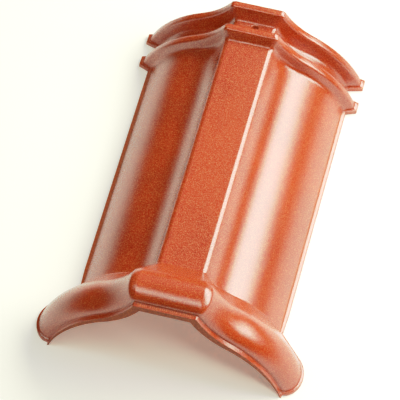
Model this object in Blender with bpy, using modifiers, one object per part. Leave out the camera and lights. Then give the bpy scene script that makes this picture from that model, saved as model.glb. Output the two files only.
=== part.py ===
"""A pressed and glazed clay ridge tile: a hollow saddle with a flat strip along its top, a rolled
collar at the front that covers the next tile's end, and two ribs with a screw hole at the back.

The tile lies along Y with its collar towards -Y, and stands on both rims at z = 0.
"""

import math

import bmesh
import bpy

# Overall sizes, in metres
LENGTH = 0.3770
BODY_WIDTH = 0.1992
BODY_HEIGHT = 0.0834
WALL = 0.0120

# The body's flat strip along the top, and the radius that rounds its edges
BODY_STRIP = 0.0458
BODY_EDGE_RADIUS = 0.0043

# The S of a side: the share of the way down at which it turns from hollow to full, how far that
# point stands off the straight line from strip to rim, and by how many degrees it is flatter
# there. The first is for the body, the second for everything that stands off it.
BODY_SIDE = (0.42, 0.0, 26.8)
RAISED_SIDE = (0.36, 0.0030, 19.5)

# The seam lip along both rims, left by the two halves of the mould
LIP_WIDTH = 0.0022
LIP_HEIGHT = 0.0045
LIP_FALL = 0.0008

# The collar: a bead with a straight back, and a small step where it meets the body
COLLAR_LENGTH = 0.0645
COLLAR_STEP = 0.0015
COLLAR_STEP_LENGTH = 0.0015
BEAD_SIDE_RISE = 0.0300
BEAD_TOP_RISE = 0.0336
BEAD_STRIP = 0.0750
BEAD_EDGE_RADIUS = 0.0080
BEAD_BACK_RADIUS = 0.0260
BEAD_CREST_Y = 0.0240

# The two ribs at the back, and the trough between them
RIB_RISE = 0.0105
RIB_STRIP = 0.0520
RIB_EDGE_RADIUS = 0.0035
RIB_FOOT_LENGTH = 0.0156
RIB_CREST_LENGTH = 0.0056
RIB_ROUNDING = 0.0016
RIB_PITCH = 0.0283
TROUGH_DROP = 0.0040
TROUGH_STRIP = 0.0410
TROUGH_WALL = 0.0100
THICKENING_LENGTH = 0.0120

# The mouth, which goes over the next tile's front rib with these clearances
MOUTH_SIDE_CLEARANCE = 0.0030
MOUTH_TOP_CLEARANCE = 0.0052
MOUTH_STRIP = 0.0486
HOLLOW_RISE = 0.0040

# The nose: the wall of its front face at the rims and on top, and the ledge above that face, at
# the back of which the bead starts in a crease
NOSE_RIM_WALL = 0.0015
NOSE_TOP_WALL = 0.0070
NOSE_STRIP = 0.0610
NOSE_EDGE_RADIUS = 0.0060
LEDGE_DEPTH = 0.0045

# The screw hole in the trough
SCREW_HOLE_DIAMETER = 0.0065

# How finely the curves are divided
SIDE_STEPS = 8
STRIP_EDGE_STEPS = 3
BEAD_STEPS = 6

GLAZED_CLAY = (0.63, 0.12, 0.05, 1.0)


def arc(start, end, slope, at_end):
    """The arc between two points (x, z) that has this slope at its start or at its end.

    It comes back as (centre x, centre z, radius, slope at start, slope at end). Slopes are in
    radians, downwards from the horizontal, and the radius is below zero for a full arc.
    """
    chord = math.atan2(start[1] - end[1], end[0] - start[0])
    first, last = (2 * chord - slope, slope) if at_end else (slope, 2 * chord - slope)
    radius = math.dist(start, end) / (2 * math.sin((first - last) / 2))
    centre_x = start[0] + radius * math.sin(first)
    centre_z = start[1] + radius * math.cos(first)
    return centre_x, centre_z, radius, first, last


def ogee(strip_width, height, rim_width, side):
    """The hollow and the full arc of a side, from the strip's edge down to the rim at z = 0."""
    share, swell, flatter = side
    strip_edge = (strip_width / 2, height)
    rim = (rim_width / 2, 0.0)
    line = math.atan2(height, rim[0] - strip_edge[0])
    turning = (
        strip_edge[0] + (rim[0] - strip_edge[0]) * share + swell * math.sin(line),
        height * (1 - share) + swell * math.cos(line),
    )
    slope = line - math.radians(flatter)
    return arc(strip_edge, turning, slope, True), arc(turning, rim, slope, False)


def side_points(arcs, rise, top, foot):
    """Points down a side that stands out from its arcs by rise, from z = top to z = foot."""
    (hollow_x, hollow_z, hollow_radius, steepest, middle), (full_x, full_z, full_radius, _, _) = arcs
    hollow_radius -= rise
    full_radius -= rise
    start = math.acos(max(-1.0, min(1.0, (hollow_z - top) / hollow_radius)))
    straight = 0.0
    if start > steepest:
        # The side runs straight up to the strip above the hollow arc
        start = steepest
        straight = top - (hollow_z - hollow_radius * math.cos(start))
    end = math.acos((full_z - foot) / full_radius)
    top_x = hollow_x - hollow_radius * math.sin(start) - straight / math.tan(start)
    points = [(top_x, top)]
    for step in range(1, SIDE_STEPS + 1):
        slope = start + (middle - start) * step / SIDE_STEPS
        x = hollow_x - hollow_radius * math.sin(slope)
        points.append((x, hollow_z - hollow_radius * math.cos(slope)))
    for step in range(1, SIDE_STEPS + 1):
        slope = middle + (end - middle) * step / SIDE_STEPS
        x = full_x - full_radius * math.sin(slope)
        points.append((x, full_z - full_radius * math.cos(slope)))
    return points


def rounded_edge(corner, below, radius):
    """The points that round the edge between the level strip and the side that falls from it."""
    slope = math.atan2(corner[1] - below[1], below[0] - corner[0])
    centre_x = corner[0] - radius * math.tan(slope / 2)
    centre_z = corner[1] - radius
    points = []
    for step in range(STRIP_EDGE_STEPS + 1):
        turn = slope * step / STRIP_EDGE_STEPS
        points.append(
            (centre_x + radius * math.sin(turn), centre_z + radius * math.cos(turn))
        )
    return points


def outer_section(strip_width, height, rim_width, side, edge_radius):
    """The outer half section: strip, rounded edge and side, from x = 0 down to the seam lip."""
    arcs = ogee(strip_width, height, rim_width, side)
    points = side_points(arcs, 0.0, height, LIP_HEIGHT + LIP_FALL)
    return [(0.0, height)] + rounded_edge(points[0], points[1], edge_radius) + points[1:]


def inner_section(arcs, rise, height):
    """An inner half section, from the ground up to x = 0."""
    side = side_points(arcs, rise, height, 0.0)
    return side[::-1] + [(0.0, height)]


def blend(first, second, share):
    return [
        (a[0] + (b[0] - a[0]) * share, a[1] + (b[1] - a[1]) * share)
        for a, b in zip(first, second)
    ]


RIB_WIDTH = BODY_WIDTH + 2 * RIB_RISE
RIB_HEIGHT = BODY_HEIGHT + RIB_RISE
TROUGH_WIDTH = BODY_WIDTH - 2 * TROUGH_DROP
TROUGH_HEIGHT = BODY_HEIGHT - TROUGH_DROP
BEAD_WIDTH = BODY_WIDTH + 2 * BEAD_SIDE_RISE
BEAD_HEIGHT = BODY_HEIGHT + BEAD_TOP_RISE
MOUTH_WIDTH = RIB_WIDTH + 2 * MOUTH_SIDE_CLEARANCE
MOUTH_HEIGHT = RIB_HEIGHT + MOUTH_TOP_CLEARANCE
NOSE_WIDTH = MOUTH_WIDTH + 2 * NOSE_RIM_WALL
NOSE_HEIGHT = MOUTH_HEIGHT + NOSE_TOP_WALL

BODY_ARCS = ogee(BODY_STRIP, BODY_HEIGHT, BODY_WIDTH, BODY_SIDE)
MOUTH_ARCS = ogee(MOUTH_STRIP, MOUTH_HEIGHT, MOUTH_WIDTH, RAISED_SIDE)
BODY = outer_section(BODY_STRIP, BODY_HEIGHT, BODY_WIDTH, BODY_SIDE, BODY_EDGE_RADIUS)
BEAD = outer_section(BEAD_STRIP, BEAD_HEIGHT, BEAD_WIDTH, RAISED_SIDE, BEAD_EDGE_RADIUS)
RIB = outer_section(RIB_STRIP, RIB_HEIGHT, RIB_WIDTH, RAISED_SIDE, RIB_EDGE_RADIUS)
TROUGH = outer_section(
    TROUGH_STRIP, TROUGH_HEIGHT, TROUGH_WIDTH, BODY_SIDE, RIB_EDGE_RADIUS
)
NOSE = outer_section(NOSE_STRIP, NOSE_HEIGHT, NOSE_WIDTH, RAISED_SIDE, NOSE_EDGE_RADIUS)


def bead_back():
    """(y, rise) from the bead's crest over its round back and down the straight part to the step."""
    centre_rise = BEAD_SIDE_RISE - BEAD_BACK_RADIUS
    back_y, back_rise = COLLAR_LENGTH - BEAD_CREST_Y, COLLAR_STEP - centre_rise
    distance = math.hypot(back_y, back_rise)
    # The straight part is the tangent from the step to the circle of the round back
    tangent = math.acos(BEAD_BACK_RADIUS / distance) + math.atan2(back_rise, back_y)
    outline = []
    for step in range(BEAD_STEPS + 1):
        turn = math.pi / 2 + (tangent - math.pi / 2) * step / BEAD_STEPS
        y = BEAD_CREST_Y + BEAD_BACK_RADIUS * math.cos(turn)
        outline.append((y, centre_rise + BEAD_BACK_RADIUS * math.sin(turn)))
    outline.append((COLLAR_LENGTH, COLLAR_STEP))
    outline.append((COLLAR_LENGTH + COLLAR_STEP_LENGTH, 0.0))
    return outline


def collar_stations():
    """(y, section) from the front face over the nose, the bead and the step to the body."""
    stations = [(0.0, NOSE), (LEDGE_DEPTH, NOSE)]
    # The bead's front is a quarter of an ellipse that starts square to the ledge
    for step in range(1, BEAD_STEPS + 1):
        turn = math.pi / 2 * step / BEAD_STEPS
        y = BEAD_CREST_Y - (BEAD_CREST_Y - LEDGE_DEPTH) * math.cos(turn)
        stations.append((y, blend(NOSE, BEAD, math.sin(turn))))
    for y, rise in bead_back()[1:]:
        stations.append((y, blend(BODY, BEAD, rise / BEAD_SIDE_RISE)))
    return stations


def rib_stations(centre, front, back):
    """(y, section) over one rib, from the section at its front foot to that at its back foot."""
    foot = RIB_FOOT_LENGTH / 2
    crest = RIB_CREST_LENGTH / 2
    edge = crest + RIB_ROUNDING
    rounding = 1 - RIB_ROUNDING / RIB_RISE
    return [
        (centre - foot, front),
        (centre - edge, blend(front, RIB, rounding)),
        (centre - crest, RIB),
        (centre + crest, RIB),
        (centre + edge, blend(back, RIB, rounding)),
        (centre + foot, back),
    ]


BACK_RIB_Y = LENGTH - RIB_FOOT_LENGTH / 2
FRONT_RIB_Y = BACK_RIB_Y - RIB_PITCH
SCREW_Y = (FRONT_RIB_Y + BACK_RIB_Y) / 2


def outer_stations():
    """(y, outer half section) from front to back."""
    return (
        collar_stations()
        + rib_stations(FRONT_RIB_Y, BODY, TROUGH)
        + rib_stations(BACK_RIB_Y, TROUGH, BODY)
    )


def inner_stations():
    """(y, inner half section) from front to back."""
    mouth = inner_section(MOUTH_ARCS, 0.0, MOUTH_HEIGHT)
    hollow = inner_section(MOUTH_ARCS, HOLLOW_RISE, MOUTH_HEIGHT + HOLLOW_RISE)
    body = inner_section(BODY_ARCS, -WALL, BODY_HEIGHT - WALL)
    back_rise = -TROUGH_DROP - TROUGH_WALL
    back = inner_section(BODY_ARCS, back_rise, BODY_HEIGHT + back_rise)
    # The inside of the bead's back runs parallel to its straight outside, one wall in
    (line_y, line_rise), (step_y, step_rise), _ = bead_back()[-3:]
    slope = math.atan2(line_rise - step_rise, step_y - line_y)
    body_y = step_y + (step_rise + WALL - WALL / math.cos(slope)) / math.tan(slope)
    hollow_rise = RIB_RISE + MOUTH_SIDE_CLEARANCE + HOLLOW_RISE
    hollow_y = body_y - (hollow_rise + WALL) / math.tan(slope)
    hollow_front = BEAD_CREST_Y / 2
    trough_front = FRONT_RIB_Y - RIB_FOOT_LENGTH / 2
    return [
        (0.0, mouth),
        (hollow_front, mouth),
        ((hollow_front + hollow_y) / 2, hollow),
        (hollow_y, hollow),
        (body_y, body),
        (trough_front - THICKENING_LENGTH, body),
        (trough_front, back),
        (LENGTH, back),
    ]


def section_at(stations, y):
    """The half section at y, straight between the stations on either side."""
    for (y0, first), (y1, second) in zip(stations, stations[1:]):
        if y <= y1:
            return blend(first, second, (y - y0) / (y1 - y0))
    return stations[-1][1]


def seam_lip(feet):
    """The lip's outer edge in plan: the line of the side's feet, moved out by the lip's width.

    It starts at nothing on the front face, and ends in the plane of the end face.
    """
    edge = [feet[0]]
    for (x0, y0), (x, y), (x1, y1) in zip(feet, feet[1:], feet[2:]):
        before, after = math.hypot(x - x0, y - y0), math.hypot(x1 - x, y1 - y)
        ax, ay = (y - y0) / before, (x0 - x) / before
        bx, by = (y1 - y) / after, (x - x1) / after
        mitre = LIP_WIDTH / (1 + ax * bx + ay * by)
        edge.append((x + (ax + bx) * mitre, y + (ay + by) * mitre))
    edge.append((feet[-1][0] + LIP_WIDTH, feet[-1][1]))
    return edge


def half_tile():
    """The half at +X as a closed skin that is open only at x = 0."""
    outer = outer_stations()
    inner = inner_stations()
    ys = sorted({round(y, 6) for y, _ in outer + inner})
    outsides = [section_at(outer, y) for y in ys]
    lips = seam_lip([(side[-1][0], y) for side, y in zip(outsides, ys)])
    shape = bmesh.new()
    rings = []
    for y, outside, (lip_x, lip_y) in zip(ys, outsides, lips):
        loop = [(x, y, z) for x, z in outside]
        loop += [(lip_x, lip_y, LIP_HEIGHT), (lip_x, lip_y, 0.0)]
        loop += [(x, y, z) for x, z in section_at(inner, y)]
        rings.append([shape.verts.new((x, y - LENGTH / 2, z)) for x, y, z in loop])
    for front, back in zip(rings, rings[1:]):
        for index in range(len(front) - 1):
            shape.faces.new(
                (front[index], back[index], back[index + 1], front[index + 1])
            )
    shape.faces.new(rings[0])
    shape.faces.new(rings[-1][::-1])
    bmesh.ops.recalc_face_normals(shape, faces=shape.faces)
    mesh = bpy.data.meshes.new("ridge_tile")
    shape.to_mesh(mesh)
    shape.free()
    return mesh


def glazed_clay():
    material = bpy.data.materials.new("glazed_clay")
    material.use_nodes = True
    shader = material.node_tree.nodes["Principled BSDF"]
    shader.inputs["Base Color"].default_value = GLAZED_CLAY
    shader.inputs["Roughness"].default_value = 0.35
    shader.inputs["Metallic"].default_value = 0.0
    return material


def collection(name):
    made = bpy.data.collections.new(name)
    bpy.context.scene.collection.children.link(made)
    return made


def screw_drill(cutters):
    """The cutter of the screw hole, square to the trough's strip."""
    bpy.ops.mesh.primitive_cylinder_add(
        vertices=24,
        radius=SCREW_HOLE_DIAMETER / 2,
        depth=4 * TROUGH_WALL,
        location=(0.0, SCREW_Y - LENGTH / 2, TROUGH_HEIGHT - TROUGH_WALL / 2),
    )
    drill = bpy.context.object
    drill.name = "screw_hole_cutter"
    drill.hide_render = True
    drill.display_type = "WIRE"
    for held_by in list(drill.users_collection):
        held_by.objects.unlink(drill)
    cutters.objects.link(drill)
    return drill


def ridge_tile(parts, cutters):
    tile = bpy.data.objects.new("ridge_tile", half_tile())
    parts.objects.link(tile)
    tile.data.materials.append(glazed_clay())
    tile.data.shade_smooth()
    tile.data.set_sharp_from_angle(angle=math.radians(25))
    mirror = tile.modifiers.new("Other half", "MIRROR")
    mirror.use_axis = (True, False, False)
    mirror.merge_threshold = 0.0001
    hole = tile.modifiers.new("Screw hole", "BOOLEAN")
    hole.operation = "DIFFERENCE"
    hole.solver = "EXACT"
    hole.object = screw_drill(cutters)
    return tile


def main():
    for obj in list(bpy.data.objects):
        bpy.data.objects.remove(obj)
    parts = collection("ridge_tile")
    cutters = collection("cutters")
    ridge_tile(parts, cutters)


main()
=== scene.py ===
"""A glazed clay ridge tile, seen from in front and above."""

import math

import bmesh
import bpy
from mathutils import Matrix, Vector


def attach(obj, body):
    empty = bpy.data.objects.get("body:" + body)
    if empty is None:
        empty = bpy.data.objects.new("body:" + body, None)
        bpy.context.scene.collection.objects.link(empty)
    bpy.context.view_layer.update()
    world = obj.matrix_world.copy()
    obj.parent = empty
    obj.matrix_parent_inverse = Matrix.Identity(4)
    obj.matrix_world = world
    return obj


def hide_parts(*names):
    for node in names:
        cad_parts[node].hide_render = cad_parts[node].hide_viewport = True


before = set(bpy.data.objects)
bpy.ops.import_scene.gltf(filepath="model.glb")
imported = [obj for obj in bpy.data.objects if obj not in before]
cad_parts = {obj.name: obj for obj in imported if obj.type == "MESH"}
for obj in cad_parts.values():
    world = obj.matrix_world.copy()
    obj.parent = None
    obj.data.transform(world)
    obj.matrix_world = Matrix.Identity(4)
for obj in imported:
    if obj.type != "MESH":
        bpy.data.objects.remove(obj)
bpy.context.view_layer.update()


# The tile's skin, outside and inside
# The real tile is one slab of red clay, pressed between two moulds and fired, so each section
# across it is an S on either side of a flat strip. Each section is spun arc by arc at its place
# along the tile, and the sections are bridged from the front to the back.

LENGTH = 0.3770
BODY_WIDTH = 0.1992
BODY_HEIGHT = 0.0834
WALL = 0.0120
RIB_RISE = 0.0105
TROUGH_DROP = 0.0040
TROUGH_WALL = 0.0100
BEAD_SIDE_RISE = 0.0300
BEAD_TOP_RISE = 0.0336
MOUTH_SIDE_CLEARANCE = 0.0030
MOUTH_TOP_CLEARANCE = 0.0052
HOLLOW_RISE = 0.0040
NOSE_RIM_WALL = 0.0015
NOSE_TOP_WALL = 0.0070
LEDGE_DEPTH = 0.0045
BEAD_CREST_Y = 0.0240
BEAD_BACK_RADIUS = 0.0260
COLLAR_LENGTH = 0.0645
COLLAR_STEP = 0.0015
RIB_FOOT_LENGTH = 0.0156
RIB_CREST_LENGTH = 0.0056
RIB_PITCH = 0.0283
THICKENING_LENGTH = 0.0120

# The width of each section's flat strip along the top, and the size of that strip's edge
BODY_STRIP, BODY_EDGE = 0.0475, 0.0043
RIB_STRIP, RIB_EDGE = 0.0520, 0.0035
TROUGH_STRIP, TROUGH_EDGE = 0.0410, 0.0035
BEAD_STRIP, BEAD_EDGE = 0.0750, 0.0080
MOUTH_STRIP, MOUTH_EDGE = 0.0486, 0.0010
NOSE_STRIP, NOSE_EDGE = 0.0610, 0.0016
UNDER_EDGE = 0.0010

# The S of a side: the share of the way down at which it turns from hollow to full, how far that
# point stands off the straight line from strip to rim, and by how many degrees it is flatter there
BODY_SIDE = (0.356, 0.0, 26.8)
RAISED_SIDE = (0.36, 0.0030, 19.5)

# How finely the arcs are spun: the strip's edge, the hollow arc and the full arc
ARC_STEPS = (3, 4, 5, 14, 18)
BEAD_STEPS = 14
FILLET_STEPS = 6


def section(strip, height, width, side, edge):
    """The sizes that one section is spun from: flat strip, height, width, S and strip edge."""
    share, swell, flatter = side
    return {
        "strip": strip,
        "height": height,
        "width": width,
        "share": share,
        "swell": swell,
        "flatter": flatter,
        "edge": edge,
        "rise": 0.0,
    }


def between(first, second, share):
    return {key: first[key] + (second[key] - first[key]) * share for key in first}


def changed(shape, **sizes):
    return {**shape, **sizes}


BODY = section(BODY_STRIP, BODY_HEIGHT, BODY_WIDTH, BODY_SIDE, BODY_EDGE)
RIB = section(
    RIB_STRIP,
    BODY_HEIGHT + RIB_RISE,
    BODY_WIDTH + 2 * RIB_RISE,
    RAISED_SIDE,
    RIB_EDGE,
)
TROUGH = section(
    TROUGH_STRIP,
    BODY_HEIGHT - TROUGH_DROP,
    BODY_WIDTH - 2 * TROUGH_DROP,
    BODY_SIDE,
    TROUGH_EDGE,
)
BEAD = section(
    BEAD_STRIP,
    BODY_HEIGHT + BEAD_TOP_RISE,
    BODY_WIDTH + 2 * BEAD_SIDE_RISE,
    RAISED_SIDE,
    BEAD_EDGE,
)
MOUTH = section(
    MOUTH_STRIP,
    RIB["height"] + MOUTH_TOP_CLEARANCE,
    RIB["width"] + 2 * MOUTH_SIDE_CLEARANCE,
    RAISED_SIDE,
    MOUTH_EDGE,
)
NOSE = section(
    NOSE_STRIP,
    MOUTH["height"] + NOSE_TOP_WALL,
    MOUTH["width"] + 2 * NOSE_RIM_WALL,
    RAISED_SIDE,
    NOSE_EDGE,
)


def arc_between(start, end, slope, at_end):
    """Centre (x, z), radius, first and last slope of an arc; its radius is below zero if full."""
    chord = math.atan2(start[1] - end[1], end[0] - start[0])
    first, last = (2 * chord - slope, slope) if at_end else (slope, 2 * chord - slope)
    radius = math.dist(start, end) / (2 * math.sin((first - last) / 2))
    centre_x = start[0] + radius * math.sin(first)
    centre_z = start[1] + radius * math.cos(first)
    return centre_x, centre_z, radius, first, last


def side_arcs(shape):
    """The arcs (x, z, radius, last slope) of a section's side, moved out by its rise.

    The hollow arc falls from the strip's edge to the turning point, and the full arc from there
    to the rim.
    """
    strip_x, rim_x, height = shape["strip"] / 2, shape["width"] / 2, shape["height"]
    rise = shape["rise"]
    line = math.atan2(height, rim_x - strip_x)
    turning = (
        strip_x + (rim_x - strip_x) * shape["share"] + shape["swell"] * math.sin(line),
        height * (1 - shape["share"]) + shape["swell"] * math.cos(line),
    )
    slope = line - math.radians(shape["flatter"])
    hollow_x, hollow_z, hollow_radius, _, _ = arc_between(
        (strip_x, height), turning, slope, True
    )
    full_x, full_z, full_radius, _, _ = arc_between(turning, (rim_x, 0.0), slope, False)
    return (
        (hollow_x, hollow_z, hollow_radius - rise, slope),
        (full_x, full_z, full_radius - rise, math.acos(full_z / (full_radius - rise))),
    )


def side_x(shape, z):
    """How far out the full arc of a section's side is at this height above the rims."""
    full_x, full_z, radius, _ = side_arcs(shape)[-1]
    return full_x - radius * math.sin(math.acos((full_z - z) / radius))


# A new mesh starts as a plane this small, which is then merged to a point or emptied
SEED = 0.001


def start_point(place):
    """Adds one point, selected, in edit mode."""
    bpy.ops.mesh.primitive_plane_add(size=SEED, location=place)
    bpy.ops.mesh.merge(type="CENTER")


def start_mesh(name):
    """An empty mesh in edit mode, in an object of its own at the origin."""
    bpy.ops.object.select_all(action="DESELECT")
    bpy.ops.mesh.primitive_plane_add(size=SEED, location=(0.0, 0.0, 0.0))
    started = bpy.context.object
    started.name = name
    bpy.ops.object.mode_set(mode="EDIT")
    bpy.ops.mesh.delete(type="VERT")
    return started


def spin(steps, x, y, z, turn):
    """Draws an arc on from the selected point, round a centre, falling as the turn grows."""
    bpy.ops.mesh.spin(steps=steps, angle=-turn, center=(x, y, z), axis=(0.0, 1.0, 0.0))


# The strip's edge: where its chamfer begins and ends, and its radii as shares of a section's edge
EDGE_SLOPES = (math.radians(17.0), math.radians(31.0))
EDGE_RADII = (0.6, 3.2, 0.70)


def edge_arcs(shape):
    """The strip's edge as arcs (x, z, radius, last slope), tangent to strip and hollow arc.

    A small arc leads into a nearly flat chamfer, and another out of it.
    """
    hollow_x, hollow_z, hollow_radius, _ = side_arcs(shape)[0]
    radii = [shape["edge"] * share for share in EDGE_RADII]
    x, z = 0.0, shape["height"] + shape["rise"] - radii[0]
    centres = [(x, z)]
    for radius, next_radius, slope in zip(radii, radii[1:], EDGE_SLOPES):
        x += (radius - next_radius) * math.sin(slope)
        z += (radius - next_radius) * math.cos(slope)
        centres.append((x, z))
    last_x = hollow_x - math.sqrt((hollow_radius + radii[-1]) ** 2 - (hollow_z - z) ** 2)
    steepest = math.atan2(hollow_x - last_x, hollow_z - z)
    return [
        (centre_x + last_x - x, centre_z, radius, slope)
        for (centre_x, centre_z), radius, slope in zip(
            centres, radii, (*EDGE_SLOPES, steepest)
        )
    ]


def draw_section(y, shape):
    """Draws half of one section at y, from the middle of the strip down to z = 0."""
    edge = edge_arcs(shape)
    start_point((0.0, y, shape["height"] + shape["rise"]))
    bpy.ops.mesh.extrude_region_move(TRANSFORM_OT_translate={"value": (edge[0][0], 0.0, 0.0)})
    slope = 0.0
    for steps, (x, z, _, last) in zip(ARC_STEPS, (*edge, *side_arcs(shape))):
        spin(steps, x, y, z, last - slope)
        slope = last


def along(corners):
    """Stations (y, section) through the corners (y, section, fillet), each corner rounded.

    The first and the last corner only say how far the ends' rounding reaches.
    """
    stations = []
    for before, (y, shape, fillet), after in zip(corners, corners[1:], corners[2:]):
        if fillet == 0.0:
            stations.append((y, shape))
            continue
        ends = []
        for other_y, other, _ in (before, after):
            rise = (other["width"] - shape["width"]) / 2 + other["rise"] - shape["rise"]
            share = min(fillet / math.hypot(other_y - y, rise), 1.0)
            ends.append((y + (other_y - y) * share, between(shape, other, share)))
        (y0, first), (y1, last) = ends
        for step in range(FILLET_STEPS + 1):
            t = step / FILLET_STEPS
            here = between(between(first, shape, t), between(shape, last, t), t)
            stations.append((y0 * (1 - t) ** 2 + 2 * y * t * (1 - t) + y1 * t * t, here))
    return stations


def bead_back():
    """(y, rise) over the bead's round back, then down its straight part to the step."""
    centre_rise = BEAD_SIDE_RISE - BEAD_BACK_RADIUS
    back_y, back_rise = COLLAR_LENGTH - BEAD_CREST_Y, COLLAR_STEP - centre_rise
    distance = math.hypot(back_y, back_rise)
    tangent = math.acos(BEAD_BACK_RADIUS / distance) + math.atan2(back_rise, back_y)
    places = []
    for step in range(BEAD_STEPS + 1):
        turn = math.pi / 2 + (tangent - math.pi / 2) * step / BEAD_STEPS
        y = BEAD_CREST_Y + BEAD_BACK_RADIUS * math.cos(turn)
        places.append((y, centre_rise + BEAD_BACK_RADIUS * math.sin(turn)))
    places.append((COLLAR_LENGTH, COLLAR_STEP))
    return places


FACE_ROUNDING = 0.0008
MOUTH_ROUNDING = 0.0004
CREASE_FILLET = 0.0006
STEP_FILLET = 0.0007
RIB_FOOT_FILLET = 0.0040
RIB_CREST_ROUNDING = 0.0024
RIB_CREST_SPREAD = 0.0008
END_ROUNDING = 0.0010
HOLLOW_FILLET = 0.0040
HOLLOW_BACK_FILLET = 0.0080
THICKENING_FILLET = 0.0040
BODY_ROWS = 12

BACK_RIB_Y = LENGTH - RIB_FOOT_LENGTH / 2
FRONT_RIB_Y = BACK_RIB_Y - RIB_PITCH
SCREW_Y = (FRONT_RIB_Y + BACK_RIB_Y) / 2

outside = [
    (0.0, changed(NOSE, rise=-FACE_ROUNDING), 0.0),
    (0.0, NOSE, FACE_ROUNDING),
    (LEDGE_DEPTH, NOSE, CREASE_FILLET),
]
for step in range(1, BEAD_STEPS + 1):
    turn = math.pi / 2 * step / BEAD_STEPS
    y = BEAD_CREST_Y - (BEAD_CREST_Y - LEDGE_DEPTH) * math.cos(turn)
    outside.append((y, between(NOSE, BEAD, math.sin(turn)), 0.0))
for y, rise in bead_back()[1:-1]:
    outside.append((y, between(BODY, BEAD, rise / BEAD_SIDE_RISE), 0.0))
outside.append((COLLAR_LENGTH, between(BODY, BEAD, COLLAR_STEP / BEAD_SIDE_RISE), STEP_FILLET))
outside.append((COLLAR_LENGTH + COLLAR_STEP, BODY, STEP_FILLET))
body_front = COLLAR_LENGTH + 2 * COLLAR_STEP
body_back = FRONT_RIB_Y - RIB_FOOT_LENGTH / 2 - 2 * RIB_FOOT_FILLET
for row in range(BODY_ROWS + 1):
    outside.append((body_front + (body_back - body_front) * row / BODY_ROWS, BODY, 0.0))
for centre, front, back in ((FRONT_RIB_Y, BODY, TROUGH), (BACK_RIB_Y, TROUGH, BODY)):
    outside.append((centre - RIB_FOOT_LENGTH / 2, front, RIB_FOOT_FILLET))
    outside.append(
        (centre - RIB_CREST_LENGTH / 2 - RIB_CREST_SPREAD, RIB, RIB_CREST_ROUNDING)
    )
    outside.append(
        (centre + RIB_CREST_LENGTH / 2 + RIB_CREST_SPREAD, RIB, RIB_CREST_ROUNDING)
    )
    outside.append((centre + RIB_FOOT_LENGTH / 2, back, RIB_FOOT_FILLET))
outside[-1] = (LENGTH, BODY, END_ROUNDING)
outside.append((LENGTH, changed(BODY, rise=-END_ROUNDING), 0.0))

hollow = changed(MOUTH, rise=HOLLOW_RISE)
under_body = changed(BODY, rise=-WALL, edge=UNDER_EDGE)
under_trough = changed(BODY, rise=-TROUGH_DROP - TROUGH_WALL, edge=UNDER_EDGE)
(line_y, line_rise), (step_y, step_rise) = bead_back()[-2:]
back_slope = math.atan2(line_rise - step_rise, step_y - line_y)
under_body_y = step_y + (step_rise + WALL - WALL / math.cos(back_slope)) / math.tan(back_slope)
hollow_back_y = under_body_y - (
    RIB_RISE + MOUTH_SIDE_CLEARANCE + HOLLOW_RISE + WALL
) / math.tan(back_slope)
trough_front = FRONT_RIB_Y - RIB_FOOT_LENGTH / 2
inside = [
    (0.0, changed(MOUTH, rise=MOUTH_ROUNDING), 0.0),
    (0.0, MOUTH, MOUTH_ROUNDING),
    (BEAD_CREST_Y / 2, MOUTH, HOLLOW_FILLET),
    ((BEAD_CREST_Y / 2 + hollow_back_y) / 2, hollow, HOLLOW_FILLET),
    (hollow_back_y, hollow, HOLLOW_BACK_FILLET),
    (under_body_y, under_body, HOLLOW_BACK_FILLET),
    (trough_front - THICKENING_LENGTH, under_body, THICKENING_FILLET),
    (trough_front, under_trough, THICKENING_FILLET),
    (LENGTH, under_trough, MOUTH_ROUNDING),
    (LENGTH, changed(under_trough, rise=under_trough["rise"] + MOUTH_ROUNDING), 0.0),
]


def draw_skin(name, corners):
    """An open skin through all the sections, in an object of its own."""
    skin = start_mesh(name)
    for y, shape in along(corners):
        draw_section(y - LENGTH / 2, shape)
    bpy.ops.mesh.select_all(action="SELECT")
    bpy.ops.mesh.bridge_edge_loops()
    bpy.ops.object.mode_set(mode="OBJECT")
    return skin


# Points this near are in the same place
TOUCHING = 1e-6
MIDDLE_MERGE = 0.0001


def select_edges(obj, wanted):
    """Selects the edges that pass the test, and nothing else, in edit mode."""
    bpy.ops.mesh.select_all(action="DESELECT")
    mesh = bmesh.from_edit_mesh(obj.data)
    for edge in mesh.edges:
        if wanted(edge):
            edge.select = True
    bmesh.update_edit_mesh(obj.data)


def on_end(edge, end_y):
    """Whether it is an open edge of this end, and lies neither in the middle nor at the rims."""
    places = [vert.co for vert in edge.verts]
    return (
        edge.is_boundary
        and all(abs(place.y - end_y) < TOUCHING for place in places)
        and max(place.x for place in places) > TOUCHING
        and max(place.z for place in places) > TOUCHING
    )


def select_only(obj):
    bpy.ops.object.select_all(action="DESELECT")
    obj.select_set(True)
    bpy.context.view_layer.objects.active = obj


def mirrored(obj):
    """Adds the other half across x = 0 and applies it."""
    select_only(obj)
    mirror = obj.modifiers.new("Other half", "MIRROR")
    mirror.merge_threshold = MIDDLE_MERGE
    bpy.ops.object.modifier_apply(modifier="Other half")


def linear(hex_colour):
    """The linear RGBA of an sRGB hex colour."""
    values = [int(hex_colour[start : start + 2], 16) / 255 for start in (1, 3, 5)]
    return (
        *(v / 12.92 if v <= 0.04045 else ((v + 0.055) / 1.055) ** 2.4 for v in values),
        1.0,
    )


def node(tree, kind, settings=None, values=None, links=None):
    """Adds a node with its settings, the values of its sockets, and the links into them."""
    made = tree.nodes.new(kind)
    for name, value in (settings or {}).items():
        setattr(made, name, value)
    for name, value in (values or {}).items():
        made.inputs[name].default_value = value
    for name, source in (links or {}).items():
        tree.links.new(source, made.inputs[name])
    return made


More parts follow.
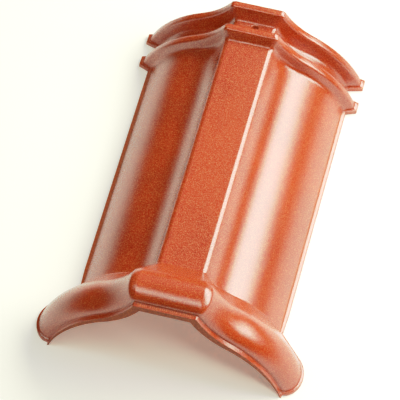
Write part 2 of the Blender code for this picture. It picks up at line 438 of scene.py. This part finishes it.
# The glaze where it lies thin and thick, then on the end faces and on the strokes
RED, DEEPER_RED = "#A82606", "#941C04"
DRY_RED, DEEPER_DRY_RED = "#7A2608", "#6A1D05"
THIN_RED, DEEPER_THIN_RED = "#D46A4C", "#C4563A"
PALE_GRAIN = "#E0804A"
DARK_FRECKLE = "#4A0C01"
WORN_EDGE = "#C2643A"
GLOSSY_ROUGHNESS, GLOSSY_INDEX = (0.11, 0.23), 1.70
DRY_ROUGHNESS, DRY_INDEX = (0.55, 0.75), 1.30
# Grains of sand in the clay are 0.5 mm and less; they are drawn 0.8 mm wide so that they show, and
# the dark freckles 1.3 mm wide for the same reason
GRAIN_WIDTH = 0.0008
FRECKLE_WIDTH = 0.0013
# Clouds where the spray lay thicker
CLOUD_WIDTH = 0.055
# The glaze pulls into waves as it melts
WAVE_WIDTH = 0.007
GRAIN_HEIGHT = 0.00014
WAVE_HEIGHT = 0.00006


def copper_red_glaze(name, red, deeper_red, roughness, index):
    """Red clay fired under a glossy copper-red glaze, in the colours of a thin and a thick coat.

    It gives a wet, slightly wavy shine over a body freckled with pale and dark grains, with
    slow clouds of a deeper red, and a paler, thinner coat where the glaze drew off an edge.
    """
    material = bpy.data.materials.new(name)
    material.use_nodes = True
    tree = material.node_tree
    place = node(tree, "ShaderNodeTexCoord").outputs["Object"]
    grain = node(
        tree,
        "ShaderNodeTexNoise",
        values={"Scale": 1 / GRAIN_WIDTH, "Detail": 2.0, "Roughness": 0.65},
        links={"Vector": place},
    ).outputs["Fac"]
    freckle = node(
        tree,
        "ShaderNodeTexNoise",
        values={
            "Scale": 1 / FRECKLE_WIDTH,
            "Detail": 1.0,
            "Roughness": 0.5,
            "Distortion": 0.4,
        },
        links={"Vector": place},
    ).outputs["Fac"]
    cloud = node(
        tree,
        "ShaderNodeTexNoise",
        values={"Scale": 1 / CLOUD_WIDTH, "Detail": 3.0, "Roughness": 0.55},
        links={"Vector": place},
    ).outputs["Fac"]
    wave = node(
        tree,
        "ShaderNodeTexNoise",
        values={"Scale": 1 / WAVE_WIDTH, "Detail": 1.0},
        links={"Vector": place},
    ).outputs["Fac"]
    thicker = node(
        tree,
        "ShaderNodeMapRange",
        values={"From Min": 0.35, "From Max": 0.65},
        links={"Value": cloud},
    ).outputs["Result"]
    coat = node(
        tree,
        "ShaderNodeMixRGB",
        values={"Color1": linear(red), "Color2": linear(deeper_red)},
        links={"Fac": thicker},
    ).outputs["Color"]
    pale_share = node(
        tree,
        "ShaderNodeMapRange",
        values={"From Min": 0.48, "From Max": 0.68, "To Min": 0.0, "To Max": 0.6},
        links={"Value": grain},
    ).outputs["Result"]
    pale = node(
        tree,
        "ShaderNodeMixRGB",
        values={"Color2": linear(PALE_GRAIN)},
        links={"Fac": pale_share, "Color1": coat},
    ).outputs["Color"]
    dark_share = node(
        tree,
        "ShaderNodeMapRange",
        values={"From Min": 0.46, "From Max": 0.28, "To Min": 0.0, "To Max": 0.38},
        links={"Value": freckle},
    ).outputs["Result"]
    dark = node(
        tree,
        "ShaderNodeMixRGB",
        values={"Color2": linear(DARK_FRECKLE)},
        links={"Fac": dark_share, "Color1": pale},
    ).outputs["Color"]
    edge = node(tree, "ShaderNodeNewGeometry").outputs["Pointiness"]
    worn_share = node(
        tree,
        "ShaderNodeMapRange",
        values={"From Min": 0.52, "From Max": 0.60, "To Min": 0.0, "To Max": 0.30},
        links={"Value": edge},
    ).outputs["Result"]
    worn = node(
        tree,
        "ShaderNodeMixRGB",
        values={"Color2": linear(WORN_EDGE)},
        links={"Fac": worn_share, "Color1": dark},
    ).outputs["Color"]
    rough = node(
        tree,
        "ShaderNodeMapRange",
        values={
            "From Min": 0.35,
            "From Max": 0.70,
            "To Min": roughness[0],
            "To Max": roughness[1],
        },
        links={"Value": grain},
    ).outputs["Result"]
    fine = node(
        tree,
        "ShaderNodeBump",
        values={"Strength": 1.0, "Distance": GRAIN_HEIGHT},
        links={"Height": grain},
    ).outputs["Normal"]
    slow = node(
        tree,
        "ShaderNodeBump",
        values={"Strength": 1.0, "Distance": WAVE_HEIGHT},
        links={"Height": wave, "Normal": fine},
    ).outputs["Normal"]
    shader = tree.nodes["Principled BSDF"]
    shader.inputs["IOR"].default_value = index
    tree.links.new(worn, shader.inputs["Base Color"])
    tree.links.new(rough, shader.inputs["Roughness"])
    tree.links.new(slow, shader.inputs["Normal"])
    return material


CLAY, PALE_CLAY = "#A9532F", "#BE6A42"
SAND = "#D9A380"
# The same grains of sand, drawn 1.5 mm wide so that they show in the shade
SAND_WIDTH = 0.0015
SAND_HEIGHT = 0.0002
# The streaks lie this far apart, and run on along the tile
STREAK_PITCH = 0.004
STREAK_SQUEEZE = 0.06
CLAY_ROUGHNESS = 0.85


def bare_clay():
    """The same red clay with no glaze, for the inside, which nobody sees on a roof.

    It gives a dry, pale terracotta with sandy grains and faint streaks from the mould.
    """
    material = bpy.data.materials.new("bare_fired_clay")
    material.use_nodes = True
    tree = material.node_tree
    place = node(tree, "ShaderNodeTexCoord").outputs["Object"]
    grain = node(
        tree,
        "ShaderNodeTexNoise",
        values={"Scale": 1 / SAND_WIDTH, "Detail": 3.0, "Roughness": 0.7},
        links={"Vector": place},
    ).outputs["Fac"]
    along_tile = node(
        tree,
        "ShaderNodeMapping",
        values={"Scale": (1.0, STREAK_SQUEEZE, 1.0)},
        links={"Vector": place},
    ).outputs["Vector"]
    streak = node(
        tree,
        "ShaderNodeTexNoise",
        values={"Scale": 1 / STREAK_PITCH, "Detail": 3.0},
        links={"Vector": along_tile},
    ).outputs["Fac"]
    streaked = node(
        tree,
        "ShaderNodeMixRGB",
        values={"Color1": linear(CLAY), "Color2": linear(PALE_CLAY)},
        links={"Fac": streak},
    ).outputs["Color"]
    sandy = node(
        tree,
        "ShaderNodeMapRange",
        values={"From Min": 0.58, "From Max": 0.72, "To Min": 0.0, "To Max": 0.6},
        links={"Value": grain},
    ).outputs["Result"]
    speckled = node(
        tree,
        "ShaderNodeMixRGB",
        values={"Color2": linear(SAND)},
        links={"Fac": sandy, "Color1": streaked},
    ).outputs["Color"]
    shader = tree.nodes["Principled BSDF"]
    tree.links.new(speckled, shader.inputs["Base Color"])
    shader.inputs["Roughness"].default_value = CLAY_ROUGHNESS
    rough = node(
        tree,
        "ShaderNodeBump",
        values={"Strength": 1.0, "Distance": SAND_HEIGHT},
        links={"Height": grain},
    ).outputs["Normal"]
    tree.links.new(rough, shader.inputs["Normal"])
    return material


tile = draw_skin("ridge_tile_glazed", outside)
glaze = copper_red_glaze(
    "copper_red_glazed_clay", RED, DEEPER_RED, GLOSSY_ROUGHNESS, GLOSSY_INDEX
)
tile.data.materials.append(glaze)
inner_skin = draw_skin("inner_skin", inside)
inner_skin.data.materials.append(glaze)
inner_skin.data.materials.append(bare_clay())
for face in inner_skin.data.polygons:
    face.material_index = len(inner_skin.data.materials) - 1
tile.select_set(True)
bpy.context.view_layer.objects.active = tile
bpy.ops.object.join()
bpy.ops.object.mode_set(mode="EDIT")
for end_y in (-LENGTH / 2, LENGTH / 2):
    select_edges(tile, lambda edge: on_end(edge, end_y))
    bpy.ops.mesh.bridge_edge_loops()
select_edges(
    tile, lambda edge: edge.is_boundary and all(vert.co.z < TOUCHING for vert in edge.verts)
)
bpy.ops.transform.resize(value=(1.0, 1.0, 0.0), center_override=(0.0, 0.0, 0.0))
bpy.ops.mesh.edge_face_add()
bpy.ops.mesh.select_all(action="SELECT")
bpy.ops.mesh.remove_doubles(threshold=TOUCHING)
bpy.ops.mesh.normals_make_consistent(inside=False)
bpy.ops.object.mode_set(mode="OBJECT")
mirrored(tile)
# The two end faces get a darker red with a dull, rough finish. An end
# # face looks along the tile and lies this near its end
FACING_END = 0.9
NEAR_END = 1e-4

dry_coat = copper_red_glaze(
    "dry_coat_on_end_faces", DRY_RED, DEEPER_DRY_RED, DRY_ROUGHNESS, DRY_INDEX
)
tile.data.materials.append(dry_coat)
for face in tile.data.polygons:
    from_end = abs(abs(face.center.y) - LENGTH / 2)
    if abs(face.normal.y) > FACING_END and from_end < NEAR_END:
        face.material_index = len(tile.data.materials) - 1


# The seam lip
# Where the two moulds meet, the clay squeezes out into a thin level lip along both rims. It is the
# same clay, drawn in plan as a strip beside the rim's outline, pulled down to the rim's foot.

LIP_WIDTH = 0.0022
BODY_LIP_EXTRA = 0.0010
LIP_HEIGHT = 0.0045
LIP_FALL = 0.0008
LIP_ROOT = 0.0006
LIP_EDGE_BEVEL = 0.0006
# How far the lip keeps from the tile's end faces and from the plane of the rims
LIP_CLEAR = 0.0003


def cut_or_joined(obj, tool, operation):
    """Cuts the tool from the piece, or unites them, and removes the tool."""
    select_only(obj)
    boolean = obj.modifiers.new("Tool", "BOOLEAN")
    boolean.operation = operation
    boolean.solver = "EXACT"
    boolean.object = tool
    bpy.ops.object.modifier_apply(modifier="Tool")
    bpy.data.objects.remove(tool)


def beside(feet, width):
    """The line of the rim's feet, moved out by a width with mitred corners."""
    line = []
    for (x0, y0), (x, y), (x1, y1) in zip(feet, feet[1:], feet[2:]):
        before, after = math.hypot(x - x0, y - y0), math.hypot(x1 - x, y1 - y)
        ax, ay = (y - y0) / before, (x0 - x) / before
        bx, by = (y1 - y) / after, (x - x1) / after
        mitre = width / (1 + ax * bx + ay * by)
        line.append((x + (ax + bx) * mitre, y + (ay + by) * mitre))
    line.append((feet[-1][0] + width, feet[-1][1]))
    return line


def draw_line(points):
    """Draws an open line through the points, in edit mode."""
    start_point(points[0])
    for start, end in zip(points, points[1:]):
        step = tuple(b - a for a, b in zip(start, end))
        bpy.ops.mesh.extrude_region_move(TRANSFORM_OT_translate={"value": step})


foot_z = LIP_HEIGHT + LIP_FALL
feet = [(side_x(shape, foot_z), y - LENGTH / 2) for y, shape, _ in outside[1:-1]]
# The lip's edge would fold in the collar's crease if it followed the bead's first two steps
del feet[2:4]
feet[0] = (feet[0][0], feet[0][1] + LIP_CLEAR)
feet[-1] = (feet[-1][0], feet[-1][1] - LIP_CLEAR)
lip = start_mesh("seam_lip")
first_x, first_y = feet[0]
draw_line(
    [(first_x - LIP_ROOT, first_y, foot_z)]
    + [(x, y, foot_z) for x, y in beside(feet, -LIP_ROOT)]
)
# Behind the collar the lip is trimmed less closely
behind_collar = COLLAR_LENGTH + 2 * COLLAR_STEP - LENGTH / 2
draw_line(
    [(first_x - LIP_CLEAR, first_y, LIP_HEIGHT)]
    + [
        (x + (BODY_LIP_EXTRA if y > behind_collar else 0.0), y, LIP_HEIGHT)
        for x, y in beside(feet, LIP_WIDTH)
    ]
)
bpy.ops.mesh.select_all(action="SELECT")
bpy.ops.mesh.bridge_edge_loops()
bpy.ops.mesh.select_all(action="SELECT")
bpy.ops.mesh.extrude_region_move(
    TRANSFORM_OT_translate={"value": (0.0, 0.0, -LIP_HEIGHT / 2)}
)
bpy.ops.transform.resize(value=(1.0, 1.0, 0.0), center_override=(0.0, 0.0, LIP_CLEAR))
bpy.ops.mesh.select_all(action="SELECT")
bpy.ops.mesh.normals_make_consistent(inside=False)
select_edges(
    lip, lambda edge: all(abs(vert.co.z - LIP_HEIGHT) < TOUCHING for vert in edge.verts)
)
bpy.ops.mesh.bevel(offset=LIP_EDGE_BEVEL, segments=2, affect="EDGES", clamp_overlap=True)
bpy.ops.object.mode_set(mode="OBJECT")
mirrored(lip)
cut_or_joined(tile, lip, "UNION")


# The screw hole
# One hole is punched down through the wet clay of the trough for the roofing screw, and the glaze
# draws back from its edge and rounds it.

HOLE_RADIUS = 0.00325
HOLE_FLARE = 0.0009
HOLE_SIDES = 32
DRILL_LENGTH = 0.030
# The flare's steps: each one's height as a share of the flare, and how much wider it grows
FLARE_STEPS = ((0.6, 1.10), (0.4, 1.12), (0.4, 1.18))

hole_y = SCREW_Y - LENGTH / 2
bpy.ops.object.select_all(action="DESELECT")
bpy.ops.mesh.primitive_cylinder_add(
    vertices=HOLE_SIDES,
    radius=HOLE_RADIUS,
    depth=DRILL_LENGTH,
    location=(0.0, hole_y, TROUGH["height"] - HOLE_FLARE - DRILL_LENGTH / 2),
)
drill = bpy.context.object
bpy.ops.object.mode_set(mode="EDIT")
bpy.ops.mesh.select_all(action="DESELECT")
mesh = bmesh.from_edit_mesh(drill.data)
mesh.faces.ensure_lookup_table()
max(mesh.faces, key=lambda face: face.calc_center_median().z).select = True
bmesh.update_edit_mesh(drill.data)
hole_centre = (0.0, hole_y, TROUGH["height"])
for rise, wider in FLARE_STEPS:
    bpy.ops.mesh.extrude_region_move(
        TRANSFORM_OT_translate={"value": (0.0, 0.0, rise * HOLE_FLARE)}
    )
    bpy.ops.transform.resize(value=(wider, wider, 1.0), center_override=hole_centre)
bpy.ops.object.mode_set(mode="OBJECT")
cut_or_joined(tile, drill, "DIFFERENCE")


# The strokes on the ledge
# A roll leaves a row of shallow strokes on the collar's front ledge, raised in the same clay and
# glazed over. They come in groups, and each is a bar with a soft top.

STROKE_RAISE = 0.0004
STROKE_WIDTH = 0.0010
STROKE_PITCH = 0.0019
STROKE_MIDDLE = 0.00235
STROKE_BEVEL = 0.00012
# One number for each stroke, its length in tenths of a millimetre; 0 leaves a gap
TENTH_OF_A_MILLIMETRE = 1e-4
STROKES = (22, 14, 22, 18, 0, 22, 20, 12, 22, 0, 22, 16, 22, 22)
STROKES += (0, 14, 22, 18, 22, 0, 22, 12, 20, 22, 16, 22)

ledge_z = NOSE["height"]
strokes = start_mesh("strokes_on_ledge")
for number, length in enumerate(STROKES):
    if length:
        x = (number - (len(STROKES) - 1) / 2) * STROKE_PITCH
        bpy.ops.mesh.primitive_cube_add(
            size=1.0,
            location=(x, STROKE_MIDDLE - LENGTH / 2, ledge_z),
            scale=(STROKE_WIDTH, length * TENTH_OF_A_MILLIMETRE, 2 * STROKE_RAISE),
        )
select_edges(strokes, lambda edge: all(vert.co.z > ledge_z for vert in edge.verts))
bpy.ops.mesh.bevel(offset=STROKE_BEVEL, segments=1, affect="EDGES")
bpy.ops.object.mode_set(mode="OBJECT")
# The glaze runs off the strokes' tops, so that they fire to a paler, thinner red
thin_glaze = copper_red_glaze(
    "thin_glaze_on_strokes", THIN_RED, DEEPER_THIN_RED, GLOSSY_ROUGHNESS, GLOSSY_INDEX
)
tile.data.materials.append(thin_glaze)
for material in tile.data.materials:
    strokes.data.materials.append(material)
for face in strokes.data.polygons:
    face.material_index = len(tile.data.materials) - 1
cut_or_joined(tile, strokes, "UNION")

# Edges sharper than this, in degrees, keep their crease in the glaze
CREASE_ANGLE = 38.0

select_only(tile)
bpy.ops.object.shade_smooth_by_angle(angle=math.radians(CREASE_ANGLE))

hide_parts("ridge_tile")
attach(tile, "root")


# The floor
# A plain sheet of warm white paper that the tile stands on, wide enough to fill the frame. It
# glows a little, so that it stays pale under lights that are set for the red glaze.

FLOOR_SIZE = 2.2
PAPER, PAPER_GLOW = "#FFF6F2", "#FFF4E0"
PAPER_ROUGHNESS = 0.9
GLOW_STRENGTH = 0.24

bpy.ops.object.select_all(action="DESELECT")
bpy.ops.mesh.primitive_plane_add(size=FLOOR_SIZE, location=(0.0, 0.0, 0.0))
floor = bpy.context.object
floor.name = "studio_floor"
paper = bpy.data.materials.new("white_paper")
paper.use_nodes = True
paper_shader = paper.node_tree.nodes["Principled BSDF"]
paper_shader.inputs["Base Color"].default_value = linear(PAPER)
paper_shader.inputs["Roughness"].default_value = PAPER_ROUGHNESS
paper_shader.inputs["Emission Color"].default_value = linear(PAPER_GLOW)
paper_shader.inputs["Emission Strength"].default_value = GLOW_STRENGTH
floor.data.materials.append(paper)


# The light
# A long soft box to the right, a narrow one above the front and a dim panel behind, in a room that
# is almost dark. Each stands where the glaze mirrors it towards the viewer as a highlight.

TILE_MIDDLE = (0.0, 0.0, 0.05)
# A little green in the lamps takes the pink out of the highlights
LAMP_TINT = (0.87, 0.96, 0.78)
ROOM_STRENGTH = 0.02


def soft_box(name, towards, distance, width, height, power):
    """An area light of this width and height, in this direction from the tile and facing it."""
    direction = Vector(towards).normalized()
    lamp = bpy.data.lights.new(name, "AREA")
    lamp.shape = "RECTANGLE"
    lamp.size = width
    lamp.size_y = height
    lamp.energy = power
    lamp.color = LAMP_TINT
    held = bpy.data.objects.new(name, lamp)
    held.location = Vector(TILE_MIDDLE) + direction * distance
    held.rotation_euler = direction.to_track_quat("Z", "Y").to_euler()
    bpy.context.scene.collection.objects.link(held)


soft_box(
    "right_soft_box",
    towards=(0.669, 0.45, 0.743),
    distance=1.6,
    width=2.1,
    height=0.78,
    power=82,
)
soft_box(
    "front_soft_box",
    towards=(-0.12, -0.30, 0.95),
    distance=2.0,
    width=2.6,
    height=0.24,
    power=27,
)
soft_box(
    "back_panel",
    towards=(-0.05, 0.66, 0.70),
    distance=2.5,
    width=3.0,
    height=2.4,
    power=11,
)
room = bpy.data.worlds.new("room")
room.use_nodes = True
room.node_tree.nodes["Background"].inputs["Color"].default_value = linear("#FFFFFF")
room.node_tree.nodes["Background"].inputs["Strength"].default_value = ROOM_STRENGTH
bpy.context.scene.world = room

# The picture's own tone: a soft shoulder keeps the red from burning out beside the white. Each
# point is a brightness, as a share of the white level, and the tone that it comes out at
WHITE_LEVEL = 2.0
TONE_POINTS = ((0.17, 0.335), (0.355, 0.62), (0.46, 0.70), (0.58, 0.79), (0.72, 0.89))
TONE_WHITE = (0.90, 1.0)

view = bpy.context.scene.view_settings
view.view_transform = "Standard"
view.use_curve_mapping = True
tone = view.curve_mapping
tone.white_level = (WHITE_LEVEL, WHITE_LEVEL, WHITE_LEVEL)
# The last curve works on the three colours together
shoulder = tone.curves[-1]
for brightness, tone_there in TONE_POINTS:
    shoulder.points.new(brightness, tone_there)
shoulder.points[-1].location = TONE_WHITE
tone.update()


# The camera
# It stands in front and well above, a little to the right, far off with a long lens. That is the
# photograph's own viewpoint, found from the tile's long edges, its rims and its strip.

CAMERA_PLACE = (0.3983, -1.8638, 2.9296)
# In degrees, about X, Y and Z in turn: up from looking straight down, a slight lean, and left
TILT = 33.182
LEAN = -1.120
TURN = 14.124
SENSOR_WIDTH_MM = 36.0
LENS_MM = 322.8
FARTHEST_SEEN = 50.0

camera_data = bpy.data.cameras.new("camera")
camera_data.sensor_width = SENSOR_WIDTH_MM
camera_data.lens = LENS_MM
camera_data.clip_end = FARTHEST_SEEN
camera = bpy.data.objects.new("camera", camera_data)
camera.rotation_euler = [math.radians(angle) for angle in (TILT, LEAN, TURN)]
camera.location = CAMERA_PLACE
bpy.context.scene.collection.objects.link(camera)
bpy.context.scene.camera = camera
